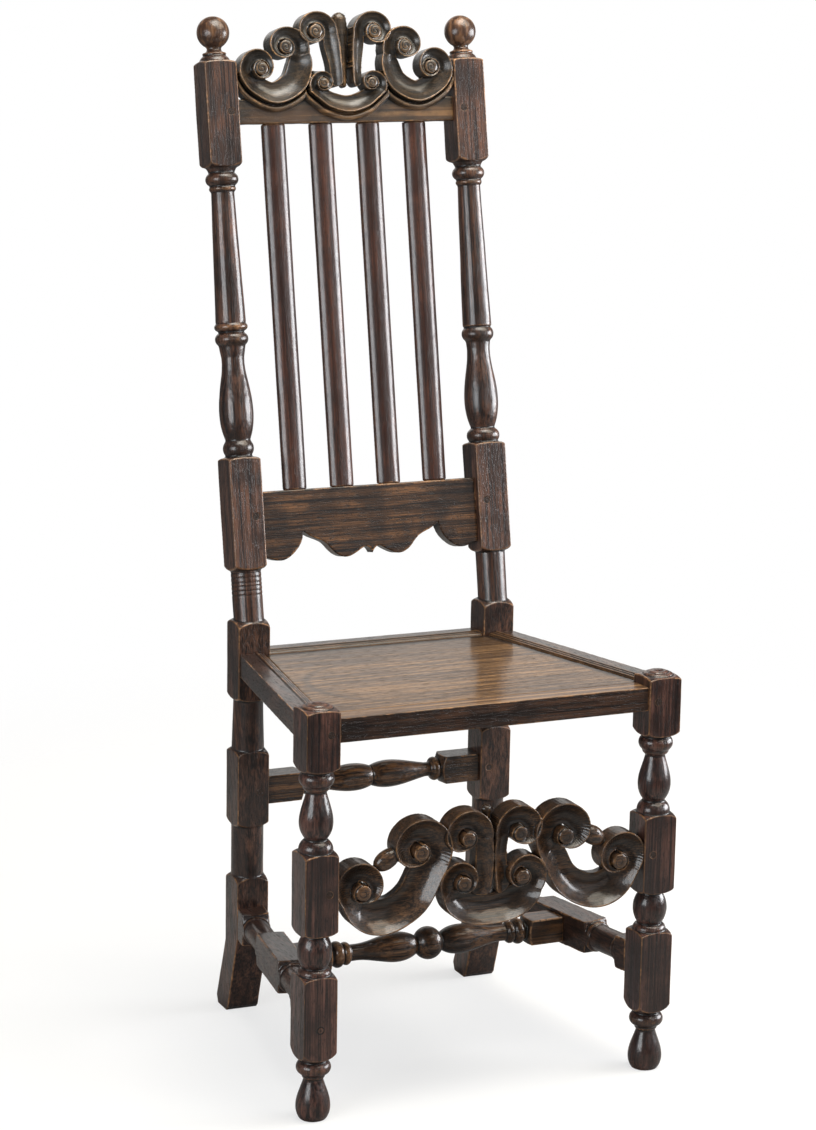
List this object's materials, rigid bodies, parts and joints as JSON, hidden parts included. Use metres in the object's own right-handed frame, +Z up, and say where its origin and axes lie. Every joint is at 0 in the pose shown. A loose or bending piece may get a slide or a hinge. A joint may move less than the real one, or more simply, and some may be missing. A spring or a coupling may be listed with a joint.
{
  "type": "high-back chair",
  "caption": "High-back side chair of joined oak with turned posts, bowed slats, a carved scroll crest and front stretcher, and a sunk panel seat.",
  "frame": {"origin": "on the floor, under the middle of the chair's overall width and depth", "axes": "+X to the right as the chair is seen from the front, +Y to the back, +Z up"},
  "size_m": [0.471, 0.5178, 1.2285],
  "materials": {
    "oak_dark": "dark waxed oak, glossy on the rounds, worn orange-brown on the edges",
    "oak_carved": "dark waxed carving, near black in the hollows and brown on the worn scoops",
    "oak_slats": "dark red-brown waxed oak with a high gloss",
    "oak_seat": "honey-brown polished oak with ripple grain from side to side",
    "oak_pegs": "end grain of dark oak pegs"
  },
  "bodies": {
    "root": {"back_post_left": "oak_dark", "front_leg_left": "oak_dark", "side_stretcher_left": "oak_dark", "seat_rail_left": "oak_dark", "back_post_right": "oak_dark", "front_leg_right": "oak_dark", "side_stretcher_right": "oak_dark", "seat_rail_right": "oak_dark", "seat_rail_front": "oak_dark", "seat_rail_back": "oak_dark", "medial_stretcher": "oak_dark", "rear_stretcher": "oak_dark", "lower_back_rail": "oak_dark", "crest_rail": "oak_carved", "front_stretcher": "oak_carved", "back_slat_1": "oak_slats", "back_slat_2": "oak_slats", "back_slat_3": "oak_slats", "back_slat_4": "oak_slats", "seat_panel": "oak_seat", "crest_rail_pegs": "oak_pegs", "lower_back_rail_pegs": "oak_pegs", "seat_front_pegs": "oak_pegs", "seat_back_pegs": "oak_pegs", "front_stretcher_pegs": "oak_pegs", "rear_stretcher_pegs": "oak_pegs"}
  },
  "joints": []
}
